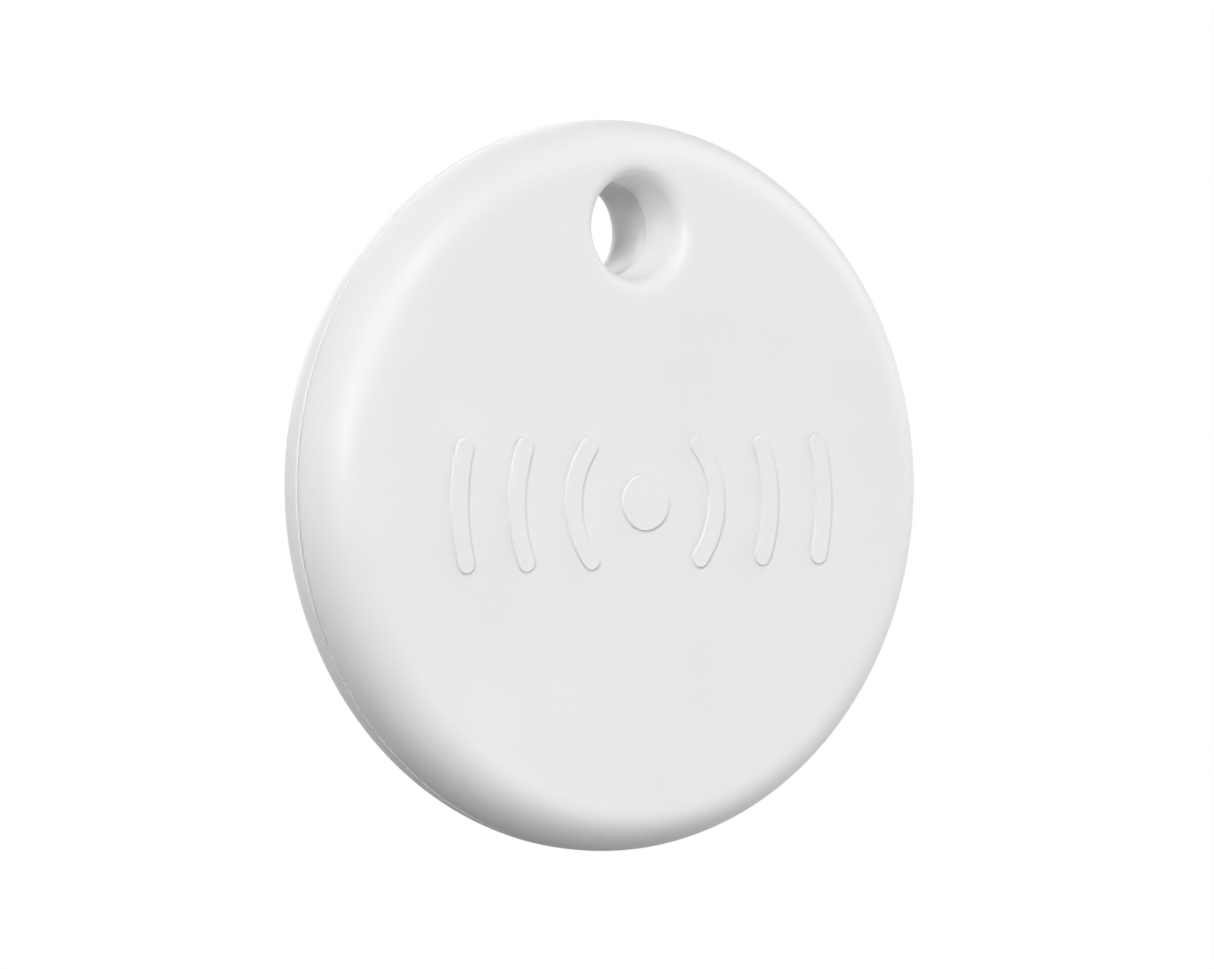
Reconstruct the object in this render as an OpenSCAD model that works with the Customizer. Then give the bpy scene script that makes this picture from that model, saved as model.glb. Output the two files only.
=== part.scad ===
// Round item-finder tag for a key ring: a two-piece case on a moulded inner frame, with a front that is
// pressed anywhere, a prise-off rear cover, a coin cell, a circuit board and a piezo sounder.
//
// Millimetres. The disc stands on edge: X runs across it, Y from its front face to its back, Z is up.
// The origin is on the axis of the key-ring hole, midway along the hole's straight wall.
// Sub-parts are drawn with the front face up at z = 0 and the disc's centre at x = y = 0, so a "depth" is
// the distance behind the front face, and place() stands the result upright.

/* [Case] */
// Outside diameter of the case
case_d = 38.8; // [37:0.2:48]
// Thickness of the case, front face to back face
case_t = 7.4; // [7.4:0.1:9]
// Width of the front edge's rounding, in from the rim
front_edge = 2.6; // [1.6:0.1:3.6]
// Width of the rear edge's rounding, in from the rim
rear_edge = 4.2; // [2.4:0.1:4.6]
// Thickness of the case's side wall
side_wall = 1.2; // [1:0.1:1.6]
// Thickness of the front wall
front_wall = 1.2; // [1:0.1:1.3]
// Thickness of the rear wall
rear_wall = 0.9; // [0.7:0.1:1.1]
// Rounding of the front cover's inside corner
front_inner_round = 1.6; // [0.8:0.1:1.8]
// Rounding of the rear cover's inside corner
rear_inner_round = 3.2; // [2:0.1:3.2]

/* [Seam] */
// Depth of the front cover's edge behind the front face
seam_depth = 3.2; // [3.1:0.05:3.6]
// Open gap between the two covers at rest
seam_gap = 0.16; // [0.14:0.02:0.3]
// Rounding of each cover's edge at the seam
seam_round = 0.1; // [0.05:0.01:0.14]
// Travel of the front cover when it is pressed
press_travel = 0.12; // [0.08:0.01:0.12]
// Width of the pry notch in the rear cover's edge
notch_w = 8; // [4:0.5:12]
// Depth of the pry notch behind the rear cover's edge
notch_h = 0.7; // [0.4:0.1:1]

/* [Key-ring hole] */
// Diameter of the hole's straight wall
hole_d = 5; // [4:0.1:5.4]
// Height of the hole's axis above the centre of the disc
hole_rise = 13.6; // [13.4:0.1:13.8]
// Rounding of the hole's front mouth
mouth_round = 1; // [0.5:0.1:1.2]
// Draft angle of the hole's wall through the front cover
mouth_draft = 5; // [2:0.5:8]
// Rounding of the collar's front lip
lip_round = 0.6; // [0.2:0.1:0.8]
// Rounding of the hole's rear mouth
rear_mouth_round = 1.6; // [1:0.1:1.7]
// Wall of the collar round the hole
collar_wall = 1.7; // [1.2:0.1:1.75]

/* [Raised signal mark] */
// Height of the mark above the front face
mark_h = 0.18; // [0.1:0.02:0.4]
// Width of its strokes
mark_w = 1.05; // [0.6:0.05:1.5]
// Bevel of the strokes' top edges
mark_bevel = 0.08; // [0.02:0.01:0.09]
// Radius of the dot in the mark's middle
dot_r = 1.5; // [0.8:0.1:2.5]
// Height of the mark's centre above the centre of the disc
mark_rise = -0.9; // [-3:0.1:1]
// Radius of the first arc of the signal
mark_r1 = 4.6; // [4:0.1:5]
// Step in radius from one arc to the next
mark_step = 3.55; // [2:0.05:3.6]
// Half of each arc's height
mark_half_h = 3.5; // [2:0.1:3.8]

/* [Snap fits] */
// Radial room between the frame's tabs and the case's wall
tab_gap = 0.3; // [0.2:0.05:0.4]
// How far the frame's tabs stand out past its flanges
tab_out = 0.4; // [0.3:0.05:0.5]
// Thickness of the frame's tabs
tab_t = 0.4; // [0.3:0.05:0.45]
// Thickness of the front cover's lugs
lug_t = 0.4; // [0.3:0.05:0.45]
// Radius of the rear cover's pegs
peg_r = 0.75; // [0.5:0.05:0.9]
// Depth of the sockets that the pegs push into
socket_depth = 1.3; // [0.8:0.1:1.4]

/* [Frame] */
// Radial size of the perimeter gasket
gasket_w = 0.6; // [0.4:0.05:0.7]
// Wall of the frame behind the perimeter gasket
frame_wall = 0.8; // [0.6:0.05:1]
// Width of the ledge that the circuit board rests on
seat_w = 0.7; // [0.5:0.05:0.9]
// Wall round the coin cell
cell_wall = 0.75; // [0.6:0.05:0.9]
// Width of the frame's spokes
spoke_w = 1; // [0.8:0.1:1.4]
// Room between the frame and the rear wall's inside
frame_back_gap = 1.1; // [0.9:0.1:1.4]
// Radius of the frame's bosses
boss_r = 1.55; // [1.3:0.05:1.7]
// Distance of the bosses in from the ring's ledge
boss_inset = 1.4; // [1.3:0.1:1.6]
// Radius of the stakes that hold the circuit board
stake_r = 0.6; // [0.4:0.05:0.7]

/* [Coin cell] */
// Diameter of the coin cell
cell_d = 20; // [18:0.1:20]
// Thickness of the coin cell
cell_t = 3.2; // [2.5:0.1:3.2]
// Depth of the cell's axis below the centre of the disc
cell_drop = 3.6; // [3.4:0.1:3.8]
// Thickness of the foam pad behind the cell
pad_t = 0.15; // [0.1:0.01:0.2]
// Room between the cell and the circuit board for the negative contact
contact_h = 0.3; // [0.25:0.01:0.3]

/* [Electronics] */
// Thickness of the circuit board
pcb_t = 0.6; // [0.4:0.1:0.6]
// Diameter of the piezo sounder's brass disc
piezo_d = 20; // [18:0.5:20]
// Diameter of its ceramic disc
ceramic_d = 14; // [12:0.5:15]
// Thickness of the brass disc
brass_t = 0.12; // [0.1:0.01:0.15]
// Thickness of the ceramic disc
ceramic_t = 0.12; // [0.1:0.01:0.15]
// Depth of the sounder's axis below the centre of the disc
piezo_drop = 4; // [3.8:0.1:4.4]
// Side of the radio chip
chip_w = 4.5; // [4:0.1:4.5]

/* [Hidden] */
$fn = 96;

// clearances
touch = 0.02;      // faces that meet
slip = 0.05;       // a piece that slides in or past another
case_gap = 0.12;   // a cover round the collar
board_gap = 0.2;   // the circuit board in its pocket
loose = 0.1;       // a hole with plain room round what stands in it
part_room = 0.9;   // room for soldered parts between the board and the spokes
spoke_inset = 0.3; // the spokes' rear edge in front of the frame's
root = 0.5;        // how far a spoke runs into what it joins
over = 1;          // how far a cut runs past a face

// case
case_r = case_d / 2;
inner_r = case_r - side_wall;
rear_edge_depth = seam_depth + seam_gap;
rear_inside = case_t - rear_wall;
notch_wall = 0.5;

// hole and collar
hole_r = hole_d / 2;
throat_r = hole_r + touch;
collar_r = hole_r + collar_wall;
wall_start = rear_edge_depth + lip_round;
wall_end = case_t - rear_mouth_round;
bore_mid = (wall_start + wall_end) / 2;
sleeve_t = 0.22;
sleeve_reach = 0.35;
sleeve_front = seam_depth - sleeve_reach;
sleeve_rear = rear_edge_depth + sleeve_reach;
sleeve_r = collar_r + touch + sleeve_t;

// snap hooks, working back from the seam
lug_rear = seam_depth - loose;
lug_front = lug_rear - lug_t;
tab_rear = lug_front - touch;
tab_front = tab_rear - tab_t;
tab_r = inner_r - tab_gap;
flange_r = tab_r - tab_out;
lug_r = flange_r + loose;
snap_angles = [35, 145, 215, 325];
tab_span = 16;
lug_span = 12;

// frame ring
gland_r = flange_r - gasket_w;
pocket_r = gland_r - frame_wall;
board_r = pocket_r - board_gap;
seat_r = board_r - seat_w;
gland_front_lap = 0.25;
gland_rear_lap = 0.3;
rear_flange_t = 0.45;
gland_front = seam_depth - gland_front_lap;
gland_rear = rear_edge_depth + gland_rear_lap;
flange_rear = gland_rear + rear_flange_t;
frame_rear = rear_inside - frame_back_gap;

// coin cell and circuit board, working forward from the rear wall
cell_r = cell_d / 2;
foam_r = 0.6 * cell_r;
cell_rear = rear_inside - pad_t - slip;
cell_front = cell_rear - cell_t;
board_rear = cell_front - contact_h;
board_front = board_rear - pcb_t;
cell_gap = 0.25;
cell_pocket_r = cell_r + cell_gap;
cell_wall_r = cell_pocket_r + cell_wall;
cell_wall_rear = cell_rear - loose;
can_t = 0.25;
crimp_t = 0.3;
can_corner = 0.5;
cap_r = 0.885 * cell_r;
cap_t = 0.25;
cap_proud = 0.25;
cap_short = 0.5;
seal_lip = 0.33;
seal_step = 0.05;
seal_deep = 0.2;
separator_t = 0.1;
anode_share = 0.24;
plus_angle = 10;
plus_gap_span = 18;
plus_w = 2.4;
leaf_t = 0.15;

// bosses, with a stake towards the front and a socket towards the rear
boss_at = seat_r - boss_inset;
boss_angles = [13, 167, 205, 335];
spoke_angles = [13, 167, 205, 335, 245, 270, 295];
stake_hole_r = stake_r + loose;
stake_head_out = 0.4;
stake_head_r = stake_r + stake_head_out;
stake_head_t = 0.25;
socket_r = peg_r + slip;
socket_front = frame_rear - socket_depth;

// piezo sounder on the inside of the front wall
piezo_r = piezo_d / 2;
ceramic_r = ceramic_d / 2;
glue_t = 0.1;
glue_w = 1.3;
recess_deep = 0.2;
recess_gap = 0.35;
recess_r = piezo_r + recess_gap;
drum_r = piezo_r - glue_w - loose;
piezo_land = front_wall - recess_deep;
brass_front = piezo_land + glue_t;
brass_rear = brass_front + brass_t;
ceramic_rear = brass_rear + ceramic_t;
electrode_t = 0.02;
electrode_in = 0.5;

// tactile switch under the front cover
switch_w = 3;
switch_l = 2.3;
switch_gap = 0.25;
gasket_room = 0.3;
switch_y = hole_rise - collar_r - gasket_room - switch_gap - switch_l / 2;
switch_floor = 0.1;
dome_t = 0.06;
dome_rise = 0.1;
dome_r = 0.9;
flange_t = 0.1;
plunger_r = 0.6;
plunger_flange_r = 0.85;
shell_t = 0.1;
flange_low = switch_floor + dome_rise + dome_t + press_travel + 2 * touch;
shell_low = flange_low + flange_t + touch;
plunger_top = shell_low + shell_t + press_travel + slip;
nub_r = 0.8;

// passive parts, each [x, y, turn] on the front of the circuit board
chip_l = 1;
chip_b = 0.5;
end_l = 0.2;
capacitor_h = 0.4;
resistor_h = 0.3;
capacitor_spots = [
    [-5.6, 8.6, 45], [-7.2, 10.2, 45], [-9, 8.2, 45], [-10.6, 6.4, 60], [-12.2, 0.4, 0], [-12.2, -1, 0],
    [-11.6, -9, 45], [-5, -4, 0], [-5, -5.4, 0], [6.6, 7.6, 0]
];
resistor_spots = [
    [-6.4, 7, 45], [-12.2, -2.4, 0], [-4, 5.4, 90], [4, 5.4, 90],
    [-10.2, -10.4, 45], [-5, -6.8, 0], [6.6, 9, 0]
];
pad_spots = [[-3.2, -14.6], [-1.6, -14.8], [0, -14.9], [1.6, -14.8], [3.2, -14.6]];
pad_r = 0.5;
copper_t = 0.04;

// larger parts on the rear of the circuit board: place as [distance out, angle], size as [x, y, height]
chip_at = [12.3, 150];
chip_h = 0.85;
chip_dot_in = 0.6;
chip_dot_r = 0.25;
chip_dot_deep = 0.05;
main_crystal_at = [12, 122];
main_crystal_size = [2, 2.5, 0.6];
clock_crystal_at = [9.3, 125];
clock_crystal_size = [1.5, 3.2, 0.8];
lid_base_t = 0.2;
lid_in = 0.1;
inductor_at = [12.6, 28];
inductor_size = [3, 3, 1.2];
inductor_flange = 0.25;
inductor_core_r = 1.35;
driver_at = [9.9, 47];
driver_size = [2, 2, 0.6];
reservoir_at = [12.6, 57];
reservoir_size = [2.5, 3.2, 1.6];

// meander antenna on the board's front
antenna_in = 1.9;
antenna_angle = 36;
antenna_bars = 9;
antenna_w = 2.2;
antenna_line = 0.35;
antenna_pitch = 0.85;

// spring contacts
finger_leaf = 0.08;
finger_w = 0.7;
finger_foot = 1.3;
finger_pad = 1.1;
ceramic_finger_x = 1.5;
brass_finger_in = 1.6;
finger_room = 0.03;
minus_eye_r = 1.2;
minus_hub_r = 3;
minus_finger_w = 1.4;
minus_finger_from = 2.6;
minus_slope = 3;
minus_pad = 1;
plus_bend = 0.35;
plus_foot = 1.8;

// ---- placing and shaping helpers

module place() {
    translate([0, -bore_mid, -hole_rise]) rotate([90, 0, 0]) children();
}

module at_hole() {
    translate([0, hole_rise]) children();
}

module at_cell() {
    translate([0, -cell_drop]) children();
}

module at_piezo() {
    translate([0, -piezo_drop]) children();
}

module at_polar(r, a) {
    rotate(a) translate([r, 0]) children();
}

// Extrudes a flat shape between two depths behind the front face.
module slab(from, to) {
    translate([0, 0, -to]) linear_extrude(height = to - from) children();
}

// A round disc or pin between two depths.
module disc(r, from, to) {
    translate([0, 0, -to]) cylinder(r = r, h = to - from);
}

// A flat ring between two depths.
module ring(r_in, r_out, from, to) {
    difference() {
        disc(r_out, from, to);
        disc(r_in, from - over, to + over);
    }
}

// Part of a ring, centred on angle a.
module sector(r_in, r_out, a, span, from, to) {
    rotate(a - span / 2) rotate_extrude(angle = span)
        translate([r_in, -to]) square([r_out - r_in, to - from]);
}

// Puts a piece on the board's front face, or on its rear face with the piece's height towards the rear.
module on_front(x, y, turn) {
    translate([x, y, -board_front]) rotate(turn) children();
}

module on_rear(spot) {
    at_polar(spot[0], spot[1]) translate([0, 0, -board_rear]) mirror([0, 0, 1]) children();
}

// A block centred on its base.
module block(w, l, h) {
    translate([-w / 2, -l / 2, 0]) cube([w, l, h]);
}

// A metal lid on a slightly wider base.
module lidded(size) {
    block(size[0], size[1], lid_base_t);
    block(size[0] - 2 * lid_in, size[1] - 2 * lid_in, size[2]);
}

// ---- case profiles

// Half section of a cover's outside, from the seam edge at y = 0 up to its face at y = h: a small rounding
// at the edge, then a quarter of an ellipse that runs into the flat face.
module cover_profile(edge, h) {
    rise = h - seam_round;
    square([case_r - seam_round, seam_round]);
    translate([case_r - seam_round, seam_round]) circle(r = seam_round);
    translate([0, seam_round]) intersection() {
        square([case_r, rise]);
        union() {
            square([case_r - edge, rise]);
            translate([case_r - edge, 0]) scale([edge, rise]) circle(r = 1);
        }
    }
}

// Half section of a cover's inside, open at the seam.
module cavity_profile(h, corner) {
    translate([0, -over]) square([inner_r, h - corner + over]);
    square([inner_r - corner, h]);
    translate([inner_r - corner, h - corner]) circle(r = corner);
}

module front_solid() {
    rotate_extrude() translate([0, -seam_depth]) cover_profile(front_edge, seam_depth);
}

module rear_solid() {
    rotate_extrude() translate([0, -rear_edge_depth]) mirror([0, 1])
        cover_profile(rear_edge, case_t - rear_edge_depth);
}

// ---- front cover

// The hole's front mouth, cut out of the front cover: a drafted wall with a rounded edge.
module mouth_cut() {
    mid_r = throat_r + (seam_depth - mouth_round) * tan(mouth_draft) + mouth_round / cos(mouth_draft);
    at_hole() rotate_extrude() difference() {
        polygon([
            [0, over], [mid_r, over], [mid_r, -mouth_round],
            [mid_r - mouth_round * cos(mouth_draft), -mouth_round * (1 - sin(mouth_draft))],
            [throat_r, -seam_depth], [throat_r, -seam_depth - over], [0, -seam_depth - over]
        ]);
        translate([mid_r, -mouth_round]) circle(r = mouth_round);
    }
}

// Section across a raised stroke or dot that is 2 * half wide, sunk a little into the front wall.
module stroke_profile(half) {
    polygon([
        [-half, -front_wall / 4], [half, -front_wall / 4], [half, mark_h - mark_bevel],
        [half - mark_bevel, mark_h], [mark_bevel - half, mark_h], [-half, mark_h - mark_bevel]
    ]);
}

// One arc of the signal, centred on angle a.
module signal_arc(r, a) {
    span = 2 * asin(mark_half_h / r);
    rotate(a - span / 2) rotate_extrude(angle = span) translate([r, 0]) stroke_profile(mark_w / 2);
}

module signal_mark() {
    translate([0, mark_rise, 0]) {
        rotate_extrude() intersection() {
            stroke_profile(dot_r);
            translate([0, -over]) square([2 * dot_r, 2 * over]);
        }
        for (i = [0:2], a = [0, 180])
            signal_arc(mark_r1 + i * mark_step, a);
    }
}

module front_cover() {
    place() color("white") difference() {
        union() {
            difference() {
                front_solid();
                rotate_extrude() translate([0, -seam_depth])
                    cavity_profile(seam_depth - front_wall, front_inner_round);
                at_piezo() disc(recess_r, piezo_land, front_wall + over);
                at_piezo() disc(drum_r, piezo_land - recess_deep, front_wall + over);
            }
            at_hole() disc(collar_r, front_wall / 2, seam_depth);
            for (a = snap_angles)
                sector(lug_r, inner_r + side_wall / 4, a, lug_span, lug_front, lug_rear);
            translate([0, switch_y]) disc(nub_r, front_wall / 2, board_front - plunger_top - touch);
            signal_mark();
        }
        mouth_cut();
    }
}

// ---- piezo sounder, bonded inside the front cover

module piezo_adhesive() {
    place() color("wheat") at_piezo() ring(piezo_r - glue_w, piezo_r, piezo_land, brass_front);
}

module piezo_disc() {
    place() color("gold") at_piezo() disc(piezo_r, brass_front, brass_rear);
}

module piezo_ceramic() {
    place() color("ivory") at_piezo() disc(ceramic_r, brass_rear, ceramic_rear);
}

module piezo_electrode() {
    place() color("silver") at_piezo()
        disc(ceramic_r - electrode_in, ceramic_rear, ceramic_rear + electrode_t);
}

// ---- inner frame

module frame_ring() {
    rotate_extrude() polygon([
        [pocket_r, -tab_front], [flange_r, -tab_front], [flange_r, -gland_front], [gland_r, -gland_front],
        [gland_r, -gland_rear], [flange_r, -gland_rear], [flange_r, -flange_rear], [gland_r, -flange_rear],
        [gland_r, -frame_rear], [seat_r, -frame_rear], [seat_r, -board_rear], [pocket_r, -board_rear]
    ]);
    for (a = snap_angles)
        sector(gland_r, tab_r, a, tab_span, tab_front, tab_rear);
}

module frame_boss() {
    difference() {
        disc(boss_r, board_rear, frame_rear);
        disc(socket_r, socket_front, frame_rear + over);
    }
    disc(stake_r, board_front - stake_head_t, board_rear + over / 2);
    disc(stake_head_r, board_front - stake_head_t, board_front - touch);
}

// Spokes run outward to the ring's ledge, and start at the wall round the cell.
module frame_spokes() {
    spoke_from = cell_pocket_r - cell_drop;
    for (a = spoke_angles)
        rotate(a) slab(board_rear + part_room, frame_rear - spoke_inset)
            translate([spoke_from, -spoke_w / 2]) square([seat_r - spoke_from + root, spoke_w]);
    slab(max(sleeve_rear + slip, board_rear), frame_rear - spoke_inset)
        translate([-spoke_w, cell_wall_r - cell_drop - root])
            square([2 * spoke_w, hole_rise - collar_r - cell_wall_r + cell_drop + 2 * root]);
}

// The collar carries the key-ring hole from the front cover's edge to the back face, flush with the
// rear cover's outside.
module frame_collar() {
    intersection() {
        at_hole() disc(collar_r, rear_edge_depth, case_t);
        rear_solid();
    }
}

module bore_cut() {
    at_hole() rotate_extrude() {
        translate([0, -case_t - over]) square([hole_r, case_t + 2 * over]);
        difference() {
            translate([0, -wall_start]) square([hole_r + lip_round, lip_round + over]);
            translate([hole_r + lip_round, -wall_start]) circle(r = lip_round);
        }
        difference() {
            translate([0, -case_t - over]) square([hole_r + rear_mouth_round, rear_mouth_round + over]);
            translate([hole_r + rear_mouth_round, -wall_end]) circle(r = rear_mouth_round);
        }
    }
}

module inner_frame() {
    place() color("whitesmoke") difference() {
        union() {
            difference() {
                union() {
                    frame_ring();
                    frame_spokes();
                    at_cell() disc(cell_wall_r, board_rear, cell_wall_rear);
                }
                at_hole() disc(sleeve_r + slip, 0, sleeve_rear + slip);
                at_cell() disc(cell_pocket_r, 0, case_t);
                for (a = boss_angles)
                    at_polar(boss_at, a) disc(boss_r - loose, board_rear - touch, frame_rear + over);
                at_cell() sector(cell_r, cell_wall_r + over, plus_angle, plus_gap_span, 0, case_t);
            }
            for (a = boss_angles)
                at_polar(boss_at, a) frame_boss();
            frame_collar();
        }
        bore_cut();
    }
}

// ---- gaskets

module seam_gasket() {
    bead_r = (gland_rear - gland_front) / 2 - touch;
    bead_depth = (gland_rear + gland_front) / 2;
    place() color("dimgray") difference() {
        rotate_extrude() intersection() {
            translate([gland_r + touch, -bead_depth - bead_r]) square([gasket_w, 2 * bead_r]);
            union() {
                translate([flange_r - bead_r, -bead_depth]) circle(r = bead_r);
                translate([gland_r, -bead_depth - bead_r]) square([gasket_w - bead_r, 2 * bead_r]);
            }
        }
        at_hole() disc(sleeve_r + slip, 0, case_t);
    }
}

module hole_gasket() {
    place() color("dimgray") at_hole() ring(collar_r + touch, sleeve_r, sleeve_front, sleeve_rear);
}

// ---- circuit board and what is soldered to it

module circuit_board() {
    place() color("darkgreen") difference() {
        disc(board_r, board_front, board_rear);
        at_hole() disc(sleeve_r + loose, 0, case_t);
        for (a = boss_angles)
            at_polar(boss_at, a) disc(stake_hole_r, 0, case_t);
    }
}

// A meander of copper beside the board's edge: bars joined at alternate ends.
module antenna_trace() {
    place() color("orange") at_polar(board_r - antenna_in, antenna_angle) translate([0, 0, -board_front]) {
        for (i = [0:antenna_bars - 1])
            translate([0, (i - (antenna_bars - 1) / 2) * antenna_pitch, 0])
                block(antenna_w, antenna_line, copper_t);
        for (i = [0:antenna_bars - 2])
            translate([(i % 2 == 0 ? 1 : -1) * (antenna_w - antenna_line) / 2,
                       (i + 1 - antenna_bars / 2) * antenna_pitch, 0])
                block(antenna_line, antenna_pitch, copper_t);
    }
}

module test_pads() {
    place() color("gold") for (p = pad_spots)
        on_front(p[0], p[1], 0) cylinder(r = pad_r, h = copper_t);
}

module bluetooth_chip() {
    place() color("black") on_rear(chip_at) difference() {
        block(chip_w, chip_w, chip_h);
        translate([chip_w / 2 - chip_dot_in, chip_w / 2 - chip_dot_in, chip_h - chip_dot_deep])
            cylinder(r = chip_dot_r, h = over);
    }
}

module main_crystal() {
    place() color("silver") on_rear(main_crystal_at) lidded(main_crystal_size);
}

module clock_crystal() {
    place() color("silver") on_rear(clock_crystal_at) lidded(clock_crystal_size);
}

module boost_inductor() {
    size = inductor_size;
    place() color("dimgray") on_rear(inductor_at) {
        block(size[0], size[1], inductor_flange);
        translate([0, 0, size[2] - inductor_flange]) block(size[0], size[1], inductor_flange);
        cylinder(r = inductor_core_r, h = size[2] - inductor_flange / 2);
    }
}

module buzzer_driver() {
    place() color("black") on_rear(driver_at) block(driver_size[0], driver_size[1], driver_size[2]);
}

module reservoir_capacitor() {
    size = reservoir_size;
    place() color("tan") on_rear(reservoir_at) block(size[0], size[1], size[2]);
}

module capacitors() {
    place() color("tan") for (p = capacitor_spots)
        on_front(p[0], p[1], p[2]) block(chip_l - 2 * end_l, chip_b, capacitor_h);
}

module resistors() {
    place() color("black") for (p = resistor_spots)
        on_front(p[0], p[1], p[2]) block(chip_l - 2 * end_l, chip_b, resistor_h);
}

// The two metal ends of one passive part.
module chip_ends(h) {
    for (side = [-1, 1])
        translate([side * (chip_l - end_l) / 2, 0, 0]) block(end_l, chip_b, h);
}

module chip_terminals() {
    place() color("silver") {
        for (p = capacitor_spots)
            on_front(p[0], p[1], p[2]) chip_ends(capacitor_h);
        for (p = resistor_spots)
            on_front(p[0], p[1], p[2]) chip_ends(resistor_h);
    }
}

// ---- tactile switch

module at_switch() {
    on_front(0, switch_y, 0) children();
}

module switch_base() {
    place() color("black") at_switch() difference() {
        block(switch_w, switch_l, shell_low);
        translate([0, 0, switch_floor]) cylinder(r = dome_r + slip, h = over);
    }
}

module switch_cover() {
    place() color("silver") at_switch() difference() {
        translate([0, 0, shell_low]) block(switch_w, switch_l, shell_t);
        cylinder(r = plunger_r + slip, h = over);
    }
}

module switch_plunger() {
    place() color("dimgray") at_switch() {
        translate([0, 0, flange_low]) cylinder(r = plunger_flange_r, h = flange_t);
        translate([0, 0, flange_low]) cylinder(r = plunger_r, h = plunger_top - flange_low);
    }
}

// A shallow spherical cap with its rim on the switch's floor.
module click_dome() {
    crown = (dome_r * dome_r + dome_rise * dome_rise) / (2 * dome_rise);
    place() color("silver") at_switch() intersection() {
        translate([0, 0, switch_floor + dome_rise + dome_t - crown - dome_t]) difference() {
            sphere(r = crown + dome_t);
            sphere(r = crown);
        }
        translate([0, 0, switch_floor]) cylinder(r = dome_r, h = over);
    }
}

// ---- contacts

// A C-shaped spring finger, h tall, that touches the sounder from the circuit board.
module spring_finger(h) {
    bend = h / 2;
    translate([0, finger_w / 2, 0]) rotate([90, 0, 0]) linear_extrude(height = finger_w) {
        square([finger_foot, finger_leaf]);
        translate([0, h - finger_leaf]) square([finger_pad, finger_leaf]);
        difference() {
            translate([0, bend]) circle(r = bend);
            translate([0, bend]) circle(r = bend - finger_leaf);
            translate([0, -over]) square([2 * h, h + 2 * over]);
        }
    }
}

module piezo_springs() {
    clear = board_front - press_travel - finger_room;
    place() color("gold") {
        on_front(ceramic_finger_x, -piezo_drop, 0) spring_finger(clear - ceramic_rear - electrode_t);
        on_front(piezo_r - brass_finger_in, -piezo_drop, 0) spring_finger(clear - brass_rear);
    }
}

// Sprung leaf under the cell: a ring on the board with three fingers that rise to the cap.
module battery_minus_contact() {
    rise = contact_h - slip;
    tip = minus_slope + minus_pad;
    place() color("gold") at_cell() {
        ring(minus_eye_r, minus_hub_r, board_rear, board_rear + leaf_t);
        for (i = [0:2])
            rotate(90 + i * 120) translate([minus_finger_from, minus_finger_w / 2, -board_rear])
                rotate([90, 0, 0]) linear_extrude(height = minus_finger_w) polygon([
                    [0, 0], [0, -leaf_t], [minus_slope, -rise], [tip, -rise],
                    [tip, leaf_t - rise], [minus_slope, leaf_t - rise]
                ]);
    }
}

// Upright leaf beside the cell, soldered to the board by its foot.
module battery_plus_contact() {
    bend = plus_bend;
    near = cell_r + slip;
    place() color("gold") at_cell() rotate(plus_angle) translate([near, plus_w / 2, -board_rear])
        rotate([90, 0, 0]) linear_extrude(height = plus_w) {
            translate([0, -cell_t]) square([leaf_t, cell_t - bend]);
            difference() {
                translate([bend, -bend]) circle(r = bend);
                translate([bend, -bend]) circle(r = bend - leaf_t);
                translate([bend, -2 * over]) square([over, 4 * over]);
                translate([-over, -bend - over]) square([4 * over, over]);
            }
            translate([bend, -leaf_t]) square([plus_foot, leaf_t]);
        }
}

// ---- rear cover

module rear_cover() {
    rear_h = rear_inside - rear_edge_depth;
    notch_span = 2 * asin(notch_w / 2 / case_r);
    place() color("white") difference() {
        union() {
            difference() {
                rear_solid();
                rotate_extrude() translate([0, -rear_edge_depth]) mirror([0, 1])
                    cavity_profile(rear_h, min(rear_inner_round, rear_h));
            }
            for (a = boss_angles)
                at_polar(boss_at, a) disc(peg_r, socket_front + touch, rear_inside + rear_wall / 2);
        }
        at_hole() disc(collar_r + case_gap, 0, case_t + over);
        sector(inner_r + notch_wall, case_r + over, 0, notch_span, 0, rear_edge_depth + notch_h);
    }
}

module battery_pad() {
    place() color("dimgray") at_cell() disc(foam_r, rear_inside - pad_t, rear_inside);
}

// ---- coin cell: its can faces the rear cover and its cap faces the circuit board

can_front = cell_front + cap_proud;
skirt_rear = cell_rear - can_t - cap_short;
seal_rear = cell_rear - can_t - touch;

module battery_can() {
    place() color("silver") at_cell() difference() {
        rotate_extrude() {
            translate([0, -cell_rear]) square([cell_r - can_corner, cell_rear - can_front]);
            translate([0, can_corner - cell_rear]) square([cell_r, cell_rear - can_front - can_corner]);
            translate([cell_r - can_corner, can_corner - cell_rear]) circle(r = can_corner);
        }
        disc(cell_r - can_t, can_front + crimp_t, cell_rear - can_t);
        disc(cap_r + seal_lip + touch, 0, can_front + crimp_t + touch);
    }
}

module battery_gasket() {
    place() color("royalblue") at_cell() {
        ring(cap_r + touch, cap_r + seal_lip, can_front + seal_step, can_front + crimp_t + seal_deep);
        ring(cap_r + touch, cell_r - can_t - touch, can_front + crimp_t + touch, seal_rear);
    }
}

module battery_cap() {
    place() color("silver") at_cell() difference() {
        disc(cap_r, cell_front, skirt_rear);
        disc(cap_r - cap_t, cell_front + cap_t, skirt_rear + over);
    }
}

// The three layers inside the cell share the room between the cap and the can.
layer_front = cell_front + cap_t + touch;
layer_room = cell_rear - can_t - touch - layer_front;
anode_rear = layer_front + anode_share * layer_room;
separator_rear = anode_rear + touch + separator_t;

module battery_anode() {
    place() color("lightgray") at_cell() disc(cap_r - cap_t - touch, layer_front, anode_rear);
}

module battery_separator() {
    place() color("white") at_cell() disc(cap_r - cap_t - touch, anode_rear + touch, separator_rear);
}

module battery_cathode() {
    place() color("dimgray") at_cell()
        disc(cap_r - cap_t - touch, separator_rear + touch, layer_front + layer_room);
}

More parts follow.
